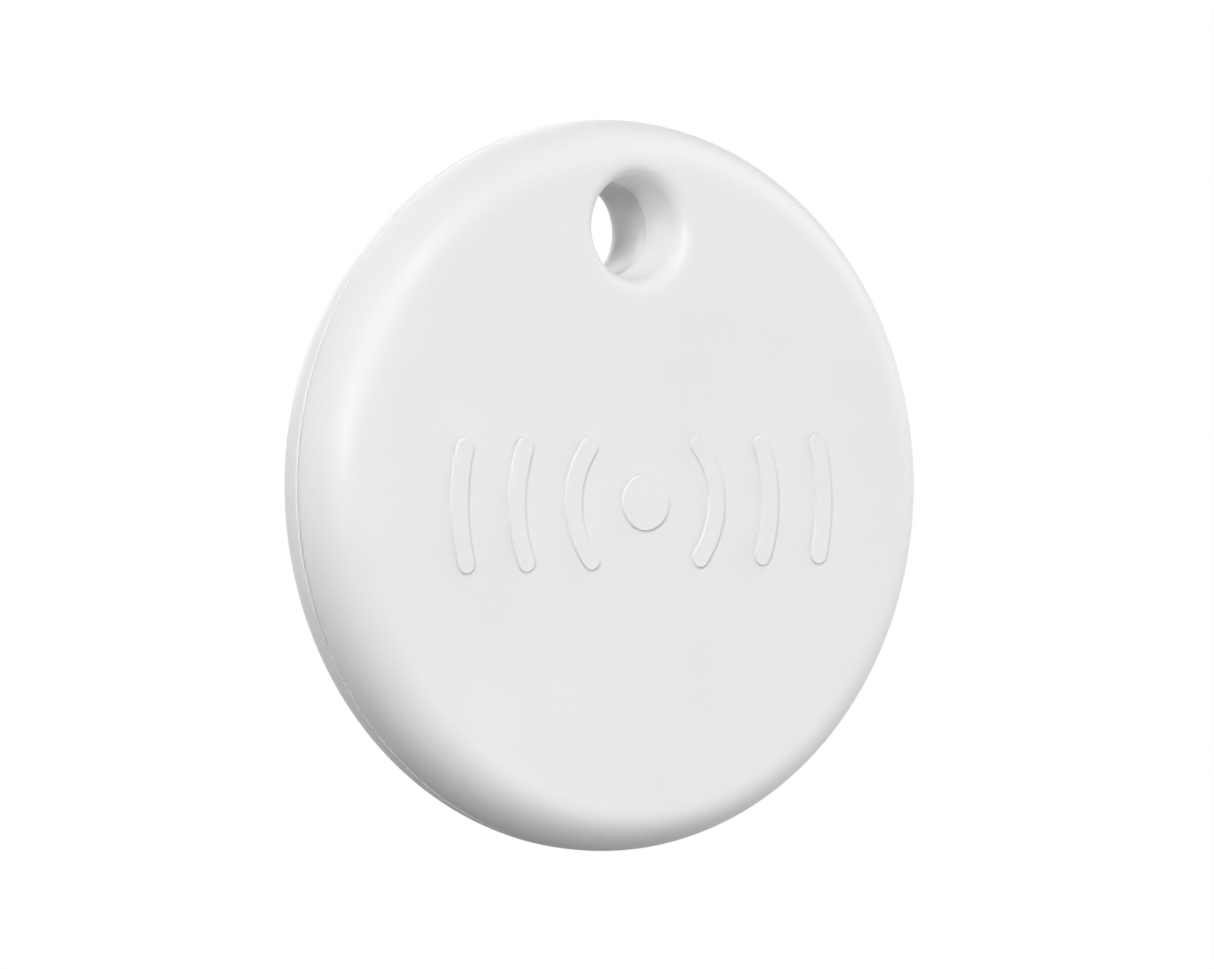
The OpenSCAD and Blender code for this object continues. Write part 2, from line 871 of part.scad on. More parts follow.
inner_frame();
seam_gasket();
hole_gasket();
circuit_board();
antenna_trace();
test_pads();
bluetooth_chip();
main_crystal();
clock_crystal();
boost_inductor();
buzzer_driver();
reservoir_capacitor();
capacitors();
resistors();
chip_terminals();
switch_base();
switch_cover();
piezo_springs();
battery_minus_contact();
battery_plus_contact();
front_cover();
piezo_adhesive();
piezo_disc();
piezo_ceramic();
piezo_electrode();
switch_plunger();
click_dome();
rear_cover();
battery_pad();
battery_can();
battery_gasket();
battery_cap();
battery_anode();
battery_separator();
battery_cathode();
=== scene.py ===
"""Looks of a round key finder tag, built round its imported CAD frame.

Metres, in the frame's own axes: X runs across the disc, Y from its front face to its back, and Z is up.
Sections are drawn in millimetres as (radius, depth behind the front face) and placed by section_point().
"""

import math

import bmesh
import bpy
import numpy as np
from mathutils import Matrix, Vector


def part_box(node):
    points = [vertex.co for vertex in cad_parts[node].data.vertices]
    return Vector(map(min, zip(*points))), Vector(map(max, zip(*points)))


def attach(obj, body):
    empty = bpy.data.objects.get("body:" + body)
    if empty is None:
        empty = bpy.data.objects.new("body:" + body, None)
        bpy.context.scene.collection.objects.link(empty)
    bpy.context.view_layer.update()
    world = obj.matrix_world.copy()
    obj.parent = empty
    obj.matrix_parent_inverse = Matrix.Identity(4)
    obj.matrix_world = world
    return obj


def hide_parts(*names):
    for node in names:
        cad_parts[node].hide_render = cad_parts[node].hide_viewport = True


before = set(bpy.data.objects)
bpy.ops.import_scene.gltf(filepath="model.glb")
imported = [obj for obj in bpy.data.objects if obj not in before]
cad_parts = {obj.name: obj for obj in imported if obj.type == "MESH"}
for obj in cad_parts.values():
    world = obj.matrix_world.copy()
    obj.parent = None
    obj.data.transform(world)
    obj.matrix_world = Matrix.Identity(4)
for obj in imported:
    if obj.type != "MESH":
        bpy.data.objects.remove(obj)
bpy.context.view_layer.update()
MM = 0.001

# ---- sizes, from the frame's own boxes where it gives them (millimetres)

cover_low, cover_high = (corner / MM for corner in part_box("front_cover"))
back_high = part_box("rear_cover")[1] / MM
plunger_low, plunger_high = (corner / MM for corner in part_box("switch_plunger"))

MARK_H = 0.18          # height of the raised signal mark
CASE_R = cover_high.x
CENTRE_Z = (cover_low.z + cover_high.z) / 2
HOLE_RISE = -CENTRE_Z  # the hole's axis is the frame's origin
FACE_Y = cover_low.y + MARK_H
CASE_T = back_high.y - FACE_Y

SEAM_DEPTH = 3.2       # the front cover's edge
SEAM_GAP = 0.16
SEAM_ROUND = 0.1
REAR_EDGE_DEPTH = SEAM_DEPTH + SEAM_GAP
INNER_R = CASE_R - 1.2
FRONT_EDGE = 2.6
REAR_EDGE = 4.2
FRONT_WALL = 1.2
REAR_INSIDE = CASE_T - 0.9
FRONT_CORNER = 1.6
REAR_CORNER = REAR_INSIDE - REAR_EDGE_DEPTH
HOLE_R = 2.5
THROAT_R = HOLE_R + 0.02
MOUTH_ROUND = 1.0
MOUTH_DRAFT = math.radians(5)
COLLAR_R = HOLE_R + 1.7
COLLAR_GAP = 0.12
BOSS_AT = 13.8
BOSS_ANGLES = (13, 167, 205, 335)
SNAP_ANGLES = (35, 145, 215, 325)
PEG_R = 0.75
PEG_TIP = REAR_INSIDE - 1.1 - 1.3 + 0.02
NOTCH_W = 8.0
NOTCH_H = 0.7
LIP_R = INNER_R + 0.5
PIEZO_Y = -4.0
NUB_Y = (plunger_low.z + plunger_high.z) / 2 + HOLE_RISE
NUB_R = 0.8
NUB_TIP = plunger_low.y - FACE_Y - 0.02
NUB_ROUND = 0.06
SOUNDER_LAND = (10.35, 1.0)    # radius and depth of the recess that the sounder is bonded in
SOUNDER_DRUM = (8.6, 0.8)      # the deeper recess that lets it move
LUG_R = 17.6
LUG_SPAN = 12                  # degrees
LUG_REAR = SEAM_DEPTH - 0.1
LUG_FRONT = LUG_REAR - 0.4
PEG_NOSE = 0.15                # rounding of a peg's tip
PEG_FOOT = 0.2                 # rounding where a peg meets the wall
HOLE_ROUND = 0.1               # rounding of the rear cover's hole
EDGE_NICK = 0.05               # small broken corners
SUNK_FIT = 0.3                 # how far lugs and pegs run into the wall they stand on

COLUMNS = 480          # round the hole, on both covers


# ---- meshes

def section_point(x, y, depth):
    """Rows of points in millimetres, (across, up, behind the front face), as points of the frame."""
    x, y, depth = np.broadcast_arrays(np.asarray(x, float), y, depth)
    return np.stack([x, depth + FACE_Y, y - HOLE_RISE], axis=-1) * MM


def mesh_object(name, points, faces, sharp=35.0):
    mesh = bpy.data.meshes.new(name)
    mesh.from_pydata([tuple(p) for p in points], [], faces)
    mesh.validate()
    tool = bmesh.new()
    tool.from_mesh(mesh)
    bmesh.ops.recalc_face_normals(tool, faces=tool.faces)
    tool.to_mesh(mesh)
    tool.free()
    mesh.polygons.foreach_set("use_smooth", [True] * len(mesh.polygons))
    mesh.set_sharp_from_angle(angle=math.radians(sharp))
    obj = bpy.data.objects.new(name, mesh)
    bpy.context.scene.collection.objects.link(obj)
    return obj


def grid_faces(rows, columns, close_rows, close_columns):
    """Quads between rows of points that were laid end to end."""
    last_row = rows if close_rows else rows - 1
    last_column = columns if close_columns else columns - 1
    return [
        (i * columns + j, i * columns + (j + 1) % columns,
         (i + 1) % rows * columns + (j + 1) % columns, (i + 1) % rows * columns + j)
        for i in range(last_row) for j in range(last_column)
    ]


class Shape:
    """Points and faces gathered from several closed pieces of one mesh."""

    def __init__(self):
        self.points, self.faces = [], []

    def add(self, rows, close_rows=False, close_columns=True, caps=False):
        first = len(self.points)
        columns = len(rows[0])
        for row in rows:
            self.points.extend(row)
        quads = grid_faces(len(rows), columns, close_rows, close_columns)
        self.faces.extend(tuple(first + k for k in quad) for quad in quads)
        if caps:
            end = first + (len(rows) - 1) * columns
            self.faces.append(tuple(range(first, first + columns)))
            self.faces.append(tuple(range(end, end + columns)))

    def make(self, name, sharp=35.0):
        return mesh_object(name, self.points, self.faces, sharp)


def turned(section, x, y, columns=48):
    """Rows of a solid turned about the axis at (x, y), from (radius, depth) points along its section."""
    turn = np.linspace(0, 2 * math.pi, columns, endpoint=False)
    return [section_point(x + r * np.cos(turn), y + r * np.sin(turn), depth) for r, depth in section]


def round_corner(r, depth, size, start, stop, steps=5):
    """Points (radius, depth) along an arc of that size round a centre, between two angles in degrees."""
    turn = np.radians(np.linspace(start, stop, steps))
    return [(r + size * math.cos(a), depth + size * math.sin(a)) for a in turn]


# ---- columns: each runs from the hole out to the rim, spread evenly between the two circles

def rim_columns():
    rim = np.linspace(0, 2 * math.pi, 7201)
    seen = np.unwrap(np.arctan2(CASE_R * np.sin(rim) - HOLE_RISE, CASE_R * np.cos(rim)))
    even = (rim + seen - seen[0]) / 2
    wanted = np.linspace(0, 2 * math.pi, COLUMNS, endpoint=False)
    return np.interp(wanted, even, seen)


LOOK = rim_columns()
LOOK_X, LOOK_Y = np.cos(LOOK), np.sin(LOOK)


def reach(r):
    """How far from the hole's axis each column meets the circle of radius r about the disc's centre."""
    return -HOLE_RISE * LOOK_Y + np.sqrt(np.maximum(r ** 2 - (HOLE_RISE * LOOK_X) ** 2, 0))


def at(t):
    """Position of each column's point that is t away from the hole's axis."""
    return t * LOOK_X, HOLE_RISE + t * LOOK_Y


def out_from_centre(t):
    x, y = at(t)
    return np.hypot(x, y)


def edge_drop(r, outside, width, height):
    """How far an elliptic edge has fallen away at radius r."""
    across = np.clip((r - (outside - width)) / width, 0, 1)
    return height * (1 - np.sqrt(1 - across ** 2))


def bent_rows(inner, outside, width, height, end, steps, face_steps):
    """Rows from distance inner off the hole's axis, over the flat face and down an elliptic edge.

    Returns (distance from the hole's axis, drop) pairs. end is the ellipse's last angle in each column.
    """
    flat_end = np.maximum(reach(outside - width), inner + 0.25)
    rows = []
    for share in np.linspace(0, 1, face_steps + 1)[1:-1]:
        t = inner + (flat_end - inner) * share ** 1.5
        rows.append((t, edge_drop(out_from_centre(t), outside, width, height)))
    start = np.arcsin(np.clip((out_from_centre(flat_end) - outside + width) / width, 0, 1))
    for share in np.linspace(0, 1, steps):
        turn = start + (end - start) * share
        r = outside - width + width * np.sin(turn)
        rows.append((reach(r), height * (1 - np.cos(turn))))
    return rows


QUARTER = np.full(COLUMNS, math.pi / 2)


# ---- front cover

def front_cover_rows():
    edge_h = SEAM_DEPTH - SEAM_ROUND
    mouth_mid = THROAT_R + (SEAM_DEPTH - MOUTH_ROUND) * math.tan(MOUTH_DRAFT)
    mouth_mid += MOUTH_ROUND / math.cos(MOUTH_DRAFT)
    rows = []

    def add(t, depth):
        x, y = at(t)
        rows.append(section_point(x, y, depth))

    def drop(t):
        return edge_drop(out_from_centre(t), CASE_R, FRONT_EDGE, edge_h)

    # up the drafted wall and round the mouth
    fillet = round_corner(mouth_mid, MOUTH_ROUND, MOUTH_ROUND, 185, 270, 18)
    throat = [(THROAT_R, SEAM_DEPTH - 0.04), (THROAT_R + 0.01, SEAM_DEPTH - 0.12)]
    wall_r, wall_depth = fillet[0]
    for share in np.linspace(0.1, 0.95, 6):
        depth = SEAM_DEPTH + (wall_depth - SEAM_DEPTH) * share
        throat.append((THROAT_R + (wall_r - THROAT_R) * share, depth))
    for r, depth in throat + fillet:
        add(r, depth + drop(r))
    # over the face and the rim
    for t, fall in bent_rows(mouth_mid, CASE_R, FRONT_EDGE, edge_h, QUARTER, 26, 14):
        add(t, fall)
    for r, depth in round_corner(CASE_R - SEAM_ROUND, edge_h, SEAM_ROUND, 15, 90, 5):
        add(reach(r), depth)
    # back along the inside to the collar round the mouth
    for r, depth in [(INNER_R + EDGE_NICK, SEAM_DEPTH), (INNER_R, SEAM_DEPTH - EDGE_NICK)]:
        add(reach(r), depth)
    inside = bent_rows(COLLAR_R, INNER_R, FRONT_CORNER, FRONT_CORNER, QUARTER, 9, 4)
    for t, fall in reversed(inside):
        add(t, FRONT_WALL + fall)
    fall = edge_drop(out_from_centre(COLLAR_R), INNER_R, FRONT_CORNER, FRONT_CORNER)
    add(COLLAR_R, FRONT_WALL + fall)
    add(COLLAR_R, SEAM_DEPTH - EDGE_NICK)
    add(COLLAR_R - EDGE_NICK, SEAM_DEPTH)
    add(THROAT_R + 0.04, SEAM_DEPTH)
    return rows


def cut(obj, rows):
    """Takes a turned solid out of obj."""
    tool = Shape()
    tool.add(rows, caps=True)
    cutter = tool.make("cutter")
    change = obj.modifiers.new("cut", "BOOLEAN")
    change.operation = "DIFFERENCE"
    change.solver = "EXACT"
    change.object = cutter
    evaluated = obj.evaluated_get(bpy.context.evaluated_depsgraph_get())
    result = bpy.data.meshes.new_from_object(evaluated)
    obj.modifiers.clear()
    obj.data = result
    bpy.data.objects.remove(cutter)


def bar(r_in, r_out, centre, span, near, far, steps=16):
    """Rows of a bar bent round the disc's centre, with its corners broken, to be capped at both ends."""
    nick = EDGE_NICK
    section = [
        (r_in + nick, near), (r_out, near), (r_out, far),
        (r_in + nick, far), (r_in, far - nick), (r_in, near + nick)
    ]
    rows = []
    for turn in np.radians(np.linspace(centre - span / 2, centre + span / 2, steps)):
        r = np.array([p[0] for p in section])
        depth = np.array([p[1] for p in section])
        rows.append(section_point(r * math.cos(turn), r * math.sin(turn), depth))
    return rows


front = Shape()
front.add(front_cover_rows(), close_rows=True)
front_cover = front.make("front_shell")
for recess_r, recess_depth in (SOUNDER_LAND, SOUNDER_DRUM):
    cut(front_cover, turned([(recess_r, recess_depth), (recess_r, FRONT_WALL + 1)], 0, PIEZO_Y, 160))
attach(front_cover, "front_cover")
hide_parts("front_cover")

fittings = Shape()
for angle in SNAP_ANGLES:
    fittings.add(bar(LUG_R, INNER_R + SUNK_FIT, angle, LUG_SPAN, LUG_FRONT, LUG_REAR), caps=True)
nub_side = NUB_TIP - NUB_ROUND
nub = [(NUB_R, FRONT_WALL - 0.2), (NUB_R, nub_side)]
nub += round_corner(NUB_R - NUB_ROUND, nub_side, NUB_ROUND, 20, 90, 4)
fittings.add(turned(nub, 0, NUB_Y, 48), caps=True)
cover_fittings = fittings.make("front_shell_lugs")
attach(cover_fittings, "front_cover")


# ---- the raised signal mark: a dot between two sets of arcs, with soft edges and round ends

STROKE_W = 1.05
DOT_R = 1.5
MARK_Y = -0.9
ARC_RADII = (4.6, 8.15, 11.7)
HALF_ARC_H = 3.5
EDGE_SOFT = 0.05      # width of a stroke's sloping side
SUNK = 0.12            # how far the mark's body reaches into the wall


def stroke_section(half):
    """(distance from the stroke's middle, depth) from its foot in the wall to its top's middle."""
    section = [(half, SUNK), (half, -0.002)]
    for share in np.linspace(0, 1, 9)[1:]:
        rise = 0.5 - 0.5 * math.cos(math.pi * share)
        section.append((half - EDGE_SOFT * share, -MARK_H * rise))
    section.append((half - EDGE_SOFT - 0.05, -MARK_H))
    return section


def outline(points, half, inset):
    """A loop round a line of points, with half-round ends, drawn in by inset."""
    reach_out = half - inset
    along = np.gradient(points, axis=0)
    along /= np.linalg.norm(along, axis=1)[:, None]
    side = np.stack([-along[:, 1], along[:, 0]], axis=1)
    loop = list(points + side * reach_out)
    for at_end, sign in ((-1, 1), (0, -1)):
        if at_end == 0:
            loop_back = list((points - side * reach_out)[::-1])
            loop.extend(loop_back)
        for turn in np.linspace(0, math.pi, 14)[1:-1]:
            loop.append(points[at_end] + sign * side[at_end] * math.cos(turn) * reach_out
                        + sign * along[at_end] * math.sin(turn) * reach_out)
    return np.array(loop)


def add_stroke(shape, centre_line, half):
    """A closed raised stroke along a line of points, or a round dot where there is only one point."""
    loops = []
    for r, depth in stroke_section(half):
        if len(centre_line) == 1:
            turn = np.linspace(0, 2 * math.pi, 96, endpoint=False)
            ring = centre_line[0] + r * np.stack([np.cos(turn), np.sin(turn)], axis=1)
        else:
            ring = outline(centre_line, half, half - r)
        loops.append(section_point(ring[:, 0], ring[:, 1], depth))
    shape.add(loops, caps=True)


mark = Shape()
add_stroke(mark, np.array([[0.0, MARK_Y]]), DOT_R)
for arc_r in ARC_RADII:
    half_turn = math.asin((HALF_ARC_H - STROKE_W / 2) / arc_r)
    for facing in (0, math.pi):
        sweep = facing + np.linspace(-half_turn, half_turn, 40)
        line = np.stack([arc_r * np.cos(sweep), MARK_Y + arc_r * np.sin(sweep)], axis=1)
        add_stroke(mark, line, STROKE_W / 2)
signal_mark = mark.make("raised_signal_mark", sharp=60)
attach(signal_mark, "front_cover")


# ---- rear cover

def rear_cover_rows():
    edge_h = CASE_T - REAR_EDGE_DEPTH - SEAM_ROUND
    rim_x, rim_y = at(reach(CASE_R))
    along_rim = np.arctan2(rim_y, rim_x) * CASE_R
    notch = np.clip((NOTCH_W / 2 - np.abs(along_rim)) / 0.35 + 0.5, 0, 1)
    notch = notch * notch * (3 - 2 * notch) * NOTCH_H
    end = np.arccos(np.clip(notch / edge_h, 0, 1))
    hole = COLLAR_R + COLLAR_GAP
    rows = []

    def add(t, depth):
        x, y = at(t)
        rows.append(section_point(x, y, depth))

    outside = CASE_T - edge_drop(out_from_centre(hole), CASE_R, REAR_EDGE, edge_h)
    inside = REAR_INSIDE - edge_drop(out_from_centre(hole), INNER_R, REAR_CORNER, REAR_CORNER)
    # through the wall, where the collar stands, and over the back face
    for share in (0.04, 0.3, 0.6, 0.85):
        add(hole, inside + (outside - inside) * share)
    for r, depth in round_corner(hole + HOLE_ROUND, 0, HOLE_ROUND, 180, 90, 5):
        add(r, outside - HOLE_ROUND + depth)
    for t, fall in bent_rows(hole + HOLE_ROUND, CASE_R, REAR_EDGE, edge_h, end, 34, 14):
        add(t, CASE_T - fall)
    # round the edge at the seam, and in over the notch's floor to the lip behind it
    edge_r = CASE_R - REAR_EDGE + REAR_EDGE * np.sin(end)
    edge_depth = CASE_T - edge_h * (1 - np.cos(end))
    for turn in np.radians(np.linspace(15, 90, 5)):
        r = edge_r - SEAM_ROUND + SEAM_ROUND * math.cos(turn)
        add(reach(r), edge_depth - SEAM_ROUND * math.sin(turn))
    lip_top = REAR_EDGE_DEPTH - 0.02
    add(reach(LIP_R + 0.03), edge_depth - SEAM_ROUND)
    add(reach(LIP_R), edge_depth - SEAM_ROUND - 0.01)
    add(reach(LIP_R - 0.02), lip_top)
    add(reach(INNER_R + EDGE_NICK), lip_top)
    add(reach(INNER_R), lip_top + EDGE_NICK)
    inner = bent_rows(hole, INNER_R, REAR_CORNER, REAR_CORNER, QUARTER * 0.98, 13, 6)
    for t, fall in reversed(inner):
        add(t, REAR_INSIDE - fall)
    return rows


rear = Shape()
rear.add(rear_cover_rows(), close_rows=True)
foot_r, foot_depth = PEG_R + PEG_FOOT, REAR_INSIDE - PEG_FOOT
peg = [(0.05, PEG_TIP), (PEG_R - PEG_NOSE, PEG_TIP)]
peg += round_corner(PEG_R - PEG_NOSE, PEG_TIP + PEG_NOSE, PEG_NOSE, -70, 0, 5)
peg += [(PEG_R, foot_depth)] + round_corner(foot_r, foot_depth, PEG_FOOT, 150, 90, 4)
peg += [(foot_r, REAR_INSIDE + SUNK_FIT)]
for angle in BOSS_ANGLES:
    where = math.radians(angle)
    rear.add(turned(peg, BOSS_AT * math.cos(where), BOSS_AT * math.sin(where), 40), caps=True)
rear_cover = rear.make("rear_shell")
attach(rear_cover, "rear_cover")
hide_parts("rear_cover")


# ---- materials

class Nodes:
    """A short way to write a material's node tree."""

    def __init__(self, name):
        self.material = bpy.data.materials.new(name)
        self.material.use_nodes = True
        self.tree = self.material.node_tree
        self.tree.nodes.clear()
        self.shader = self.add("ShaderNodeBsdfPrincipled")
        out = self.add("ShaderNodeOutputMaterial")
        self.link(self.shader.outputs[0], out.inputs[0])
        self.coords = self.add("ShaderNodeTexCoord").outputs["Object"]

    def add(self, kind, **settings):
        node = self.tree.nodes.new(kind)
        for key, value in settings.items():
            setattr(node, key, value)
        return node

    def link(self, a, b):
        self.tree.links.new(a, b)

    def put(self, node, name, value):
        if isinstance(value, bpy.types.NodeSocket):
            self.link(value, node.inputs[name])
        else:
            node.inputs[name].default_value = value

    def noise(self, size_mm, detail=3.0, stretch=None, seed=0.0):
        """Noise whose features are about size_mm across."""
        place = self.add("ShaderNodeMapping")
        self.put(place, "Vector", self.coords)
        place.inputs["Location"].default_value = (seed, seed * 0.7, seed * 1.3)
        place.inputs["Scale"].default_value = stretch or (1, 1, 1)
        node = self.add("ShaderNodeTexNoise")
        self.put(node, "Vector", place.outputs[0])
        self.put(node, "Scale", 1 / (size_mm * MM))
        self.put(node, "Detail", detail)
        return node.outputs["Fac"]

    def cells(self, size_mm):
        node = self.add("ShaderNodeTexVoronoi")
        self.put(node, "Vector", self.coords)
        self.put(node, "Scale", 1 / (size_mm * MM))
        return node.outputs["Distance"]

    def remap(self, value, low, high, to_low, to_high):
        node = self.add("ShaderNodeMapRange")
        for name, given in (("Value", value), ("From Min", low), ("From Max", high),
                            ("To Min", to_low), ("To Max", to_high)):
            self.put(node, name, given)
        return node.outputs[0]

    def math(self, operation, a, b=0.0):
        node = self.add("ShaderNodeMath", operation=operation)
        self.put(node, 0, a)
        self.put(node, 1, b)
        return node.outputs[0]

    def blend(self, share, a, b):
        node = self.add("ShaderNodeMix", data_type="RGBA")
        self.put(node, 0, share)
        self.put(node, 6, a if isinstance(a, bpy.types.NodeSocket) else (*a, 1))
        self.put(node, 7, b if isinstance(b, bpy.types.NodeSocket) else (*b, 1))
        return node.outputs[2]

    def bump(self, height, distance_mm, strength=1.0, under=None):
        node = self.add("ShaderNodeBump")
        self.put(node, "Height", height)
        self.put(node, "Distance", distance_mm * MM)
        self.put(node, "Strength", strength)
        if under is not None:
            self.put(node, "Normal", under)
        return node.outputs[0]

    def edges(self, width_mm, low=0.02, high=0.35):
        """1 along convex and concave edges, 0 on flat ground."""
        worn = self.add("ShaderNodeBevel", samples=4)
        self.put(worn, "Radius", width_mm * MM)
        plain = self.add("ShaderNodeNewGeometry")
        same = self.add("ShaderNodeVectorMath", operation="DOT_PRODUCT")
        self.link(worn.outputs[0], same.inputs[0])
        self.link(plain.outputs["Normal"], same.inputs[1])
        return self.remap(self.math("SUBTRACT", 1.0, same.outputs["Value"]), low, high, 0, 1)

    def axis_distance(self, x_mm, z_mm):
        """Distance in metres from the line along Y through (x, z)."""
        split = self.add("ShaderNodeSeparateXYZ")
        self.link(self.coords, split.inputs[0])
        x = self.math("SUBTRACT", split.outputs[0], x_mm * MM)
        z = self.math("SUBTRACT", split.outputs[2], z_mm * MM)
        squares = self.math("ADD", self.math("MULTIPLY", x, x), self.math("MULTIPLY", z, z))
        return self.math("SQRT", squares)


def scaled(colour, share):
    return tuple(min(1.0, c * share) for c in colour)


def surface(name, colour, rough, metallic=0.0, tint=0.04, patch=5.0, grain=0.12, grain_h=0.004,
            rough_change=0.06, wear=None, wear_w=0.08, wear_share=0.5, stretch=None, coat=0.0, ior=1.5,
            marks=0.0):
    """A material with patches of tint, a fine grain in its bump, changing roughness and worn edges."""
    n = Nodes(name)
    broad = n.noise(patch, 4)
    fine = n.noise(grain, 3, stretch, seed=3.1)
    tone = n.blend(n.remap(broad, 0.3, 0.7, 0, 1), scaled(colour, 1 - tint), scaled(colour, 1 + tint))
    tone = n.blend(n.remap(fine, 0.35, 0.65, 0, tint * 2), tone, scaled(colour, 1 - 2 * tint))
    smears = n.noise(patch / 3, 5, stretch, seed=7.7)
    rub = n.remap(smears, 0.3, 0.7, rough - rough_change, rough + rough_change)
    if wear is not None:
        patchy = n.remap(n.noise(0.7, 4, seed=5.3), 0.35, 0.65, 0.3, 1.0)
        worn = n.math("MULTIPLY", n.math("MULTIPLY", n.edges(wear_w), patchy), wear_share)
        tone = n.blend(worn, tone, wear)
        rub = n.math("SUBTRACT", rub, n.math("MULTIPLY", worn, 0.25 * rough))
    relief = n.bump(fine, grain_h)
    if marks:
        scuffs = n.remap(n.noise(0.35, 2, (1, 1, 14), seed=11.0), 0.7, 0.78, 0, 1)
        rub = n.math("ADD", rub, n.math("MULTIPLY", scuffs, marks))
    n.put(n.shader, "Base Color", tone)
    n.put(n.shader, "Roughness", rub)
    n.put(n.shader, "Metallic", metallic)
    n.put(n.shader, "IOR", ior)
    n.put(n.shader, "Coat Weight", coat)
    n.put(n.shader, "Normal", relief)
    return n


def case_material():
    """Moulded satin plastic: a spark-eroded texture, faint flow patches, polish where fingers rub, and
    painted shade along its edges and creases.
    """
    n = Nodes("case_plastic_white")
    base = (0.79, 0.79, 0.785)
    flow = n.noise(9.0, 3)
    tone = n.blend(n.remap(flow, 0.3, 0.7, 0, 1), scaled(base, 0.985), scaled(base, 1.012))
    specks = n.remap(n.noise(0.5, 2, seed=2.2), 0.72, 0.8, 0, 0.12)
    tone = n.blend(specks, tone, scaled(base, 0.9))
    # edge mask: painted shade, darkening the colour towards a warm grey along every edge and crease (next
    # line); it also lowers the roughness there as polish
    edge = n.edges(0.12)
    tone = n.blend(n.math("MULTIPLY", edge, 0.12), tone, (0.74, 0.73, 0.70))
    grain = n.noise(0.09, 3, seed=4.4)
    pits = n.cells(0.16)
    texture = n.bump(grain, 0.004, 1.0, n.bump(pits, 0.003, 1.0))
    handled = n.remap(n.noise(6.0, 5, seed=9.1), 0.35, 0.7, 0.40, 0.52)
    n.put(n.shader, "Base Color", tone)
    n.put(n.shader, "Roughness", n.math("SUBTRACT", handled, n.math("MULTIPLY", edge, 0.08)))
    n.put(n.shader, "IOR", 1.49)
    n.put(n.shader, "Normal", texture)
    return n.material


def frame_material():
    """Plain moulded plastic, a little greyer than the case."""
    n = surface("frame_plastic_white", (0.70, 0.70, 0.695), 0.42, tint=0.02, patch=4.0, grain=0.1,
                grain_h=0.003, wear=(0.64, 0.63, 0.61), wear_share=0.2)
    return n.material


def board_material():
    """Solder mask over woven laminate, with the copper tracks showing as slightly raised lighter paths."""
    n = surface("solder_mask_green", (0.012, 0.075, 0.03), 0.32, tint=0.12, patch=3.0, grain=0.1,
                grain_h=0.001, coat=0.3)
    tracks = n.add("ShaderNodeTexBrick", offset=0.37, squash=1.6, squash_frequency=3)
    turned_coords = n.add("ShaderNodeMapping")
    n.put(turned_coords, "Vector", n.coords)
    turned_coords.inputs["Rotation"].default_value = (math.radians(90), 0, 0)
    n.put(tracks, "Vector", turned_coords.outputs[0])
    for name, value in (("Scale", 300.0), ("Mortar Size", 0.035), ("Mortar Smooth", 0.1),
                        ("Brick Width", 0.9), ("Row Height", 0.35)):
        n.put(tracks, name, value)
    line = tracks.outputs["Fac"]
    plain = n.shader.inputs["Base Color"].links[0].from_socket
    n.put(n.shader, "Base Color", n.blend(line, plain, (0.025, 0.13, 0.05)))
    weave = n.bump(n.noise(0.25, 1, (1, 1, 4)), 0.002)
    n.put(n.shader, "Normal", n.bump(line, 0.02, 1.0, weave))
    return n.material


def turned_metal(name, colour, rough, x_mm, z_mm, pitch_mm=0.18, height=0.0015, **more):
    """Metal with fine rings left by the press tool round its own axis."""
    n = surface(name, colour, rough, metallic=1.0, **more)
    ring = n.add("ShaderNodeTexNoise", noise_dimensions="1D")
    n.put(ring, "W", n.axis_distance(x_mm, z_mm))
    n.put(ring, "Scale", 1 / (pitch_mm * MM))
    n.put(ring, "Detail", 4.0)
    old = n.shader.inputs["Normal"].links[0].from_socket
    n.put(n.shader, "Normal", n.bump(ring.outputs["Fac"], height, 1.0, old))
    return n.material


cell_low, cell_high = (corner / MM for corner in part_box("battery_can"))
CELL_Z = (cell_low.z + cell_high.z) / 2
PIEZO_Z = PIEZO_Y + CENTRE_Z
STEEL, GOLD, BRASS = (0.56, 0.55, 0.53), (0.80, 0.55, 0.20), (0.72, 0.52, 0.22)

